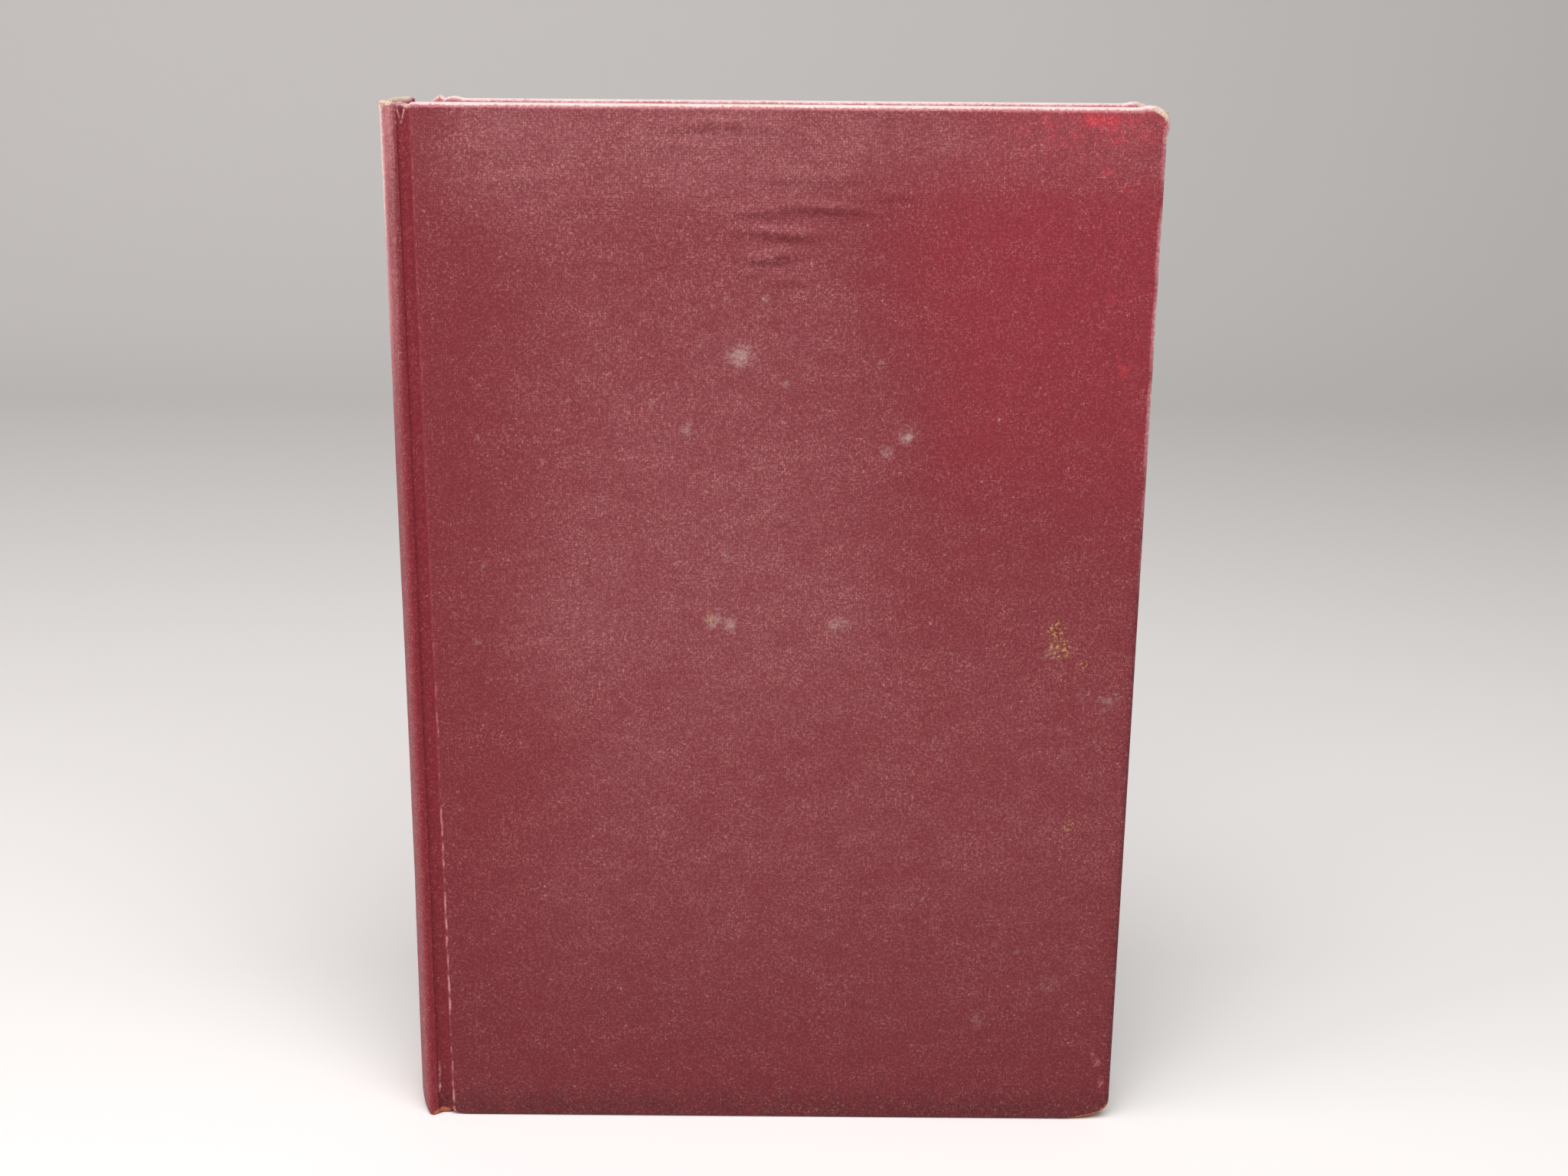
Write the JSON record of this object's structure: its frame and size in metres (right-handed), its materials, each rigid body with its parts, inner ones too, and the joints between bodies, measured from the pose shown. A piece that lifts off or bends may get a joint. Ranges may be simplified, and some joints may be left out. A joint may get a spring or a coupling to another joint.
{
  "type": "hardback book",
  "caption": "Closed cloth-bound hardback book with a rounded spine and sunken joints, standing upright on its tail; both covers open.",
  "frame": {"origin": "centre of the overall size, on the surface that the book stands on", "axes": "+X from the spine to the fore edge, +Y from the front cover to the back cover, +Z from tail to head"},
  "size_m": [0.1672, 0.0232, 0.24],
  "materials": {
    "book_cloth": "matt woven book cloth, rubbed and faded",
    "leaves": "uncoated, aged",
    "endpaper": "uncoated, aged",
    "mull_cloth": "open weave, glued",
    "kraft_paper": "brown, glued",
    "band_cloth": "woven cotton",
    "card": "thin card",
    "board": "dense grey board"
  },
  "bodies": {
    "book_block": {"text_block": "leaves", "front_flyleaf": "endpaper", "back_flyleaf": "endpaper", "mull": "mull_cloth", "spine_lining": "kraft_paper", "headband": "band_cloth", "tailband": "band_cloth", "spine_inlay": "card", "spine_cloth": "book_cloth"},
    "front_cover": {"front_board": "board", "front_cloth": "book_cloth", "front_mull_flange": "mull_cloth", "front_pastedown": "endpaper"},
    "back_cover": {"back_board": "board", "back_cloth": "book_cloth", "back_mull_flange": "mull_cloth", "back_pastedown": "endpaper"}
  },
  "joints": [
    {"name": "front_cover_hinge", "type": "hinge", "parent": "book_block", "child": "front_cover", "pos_m": [-0.07954, -0.0103, 0.12], "axis": [0, 0, -1], "range_deg": [0, 178]},
    {"name": "back_cover_hinge", "type": "hinge", "parent": "book_block", "child": "back_cover", "pos_m": [-0.07954, 0.0103, 0.12], "axis": [0, 0, 1], "range_deg": [0, 178]}
  ]
}
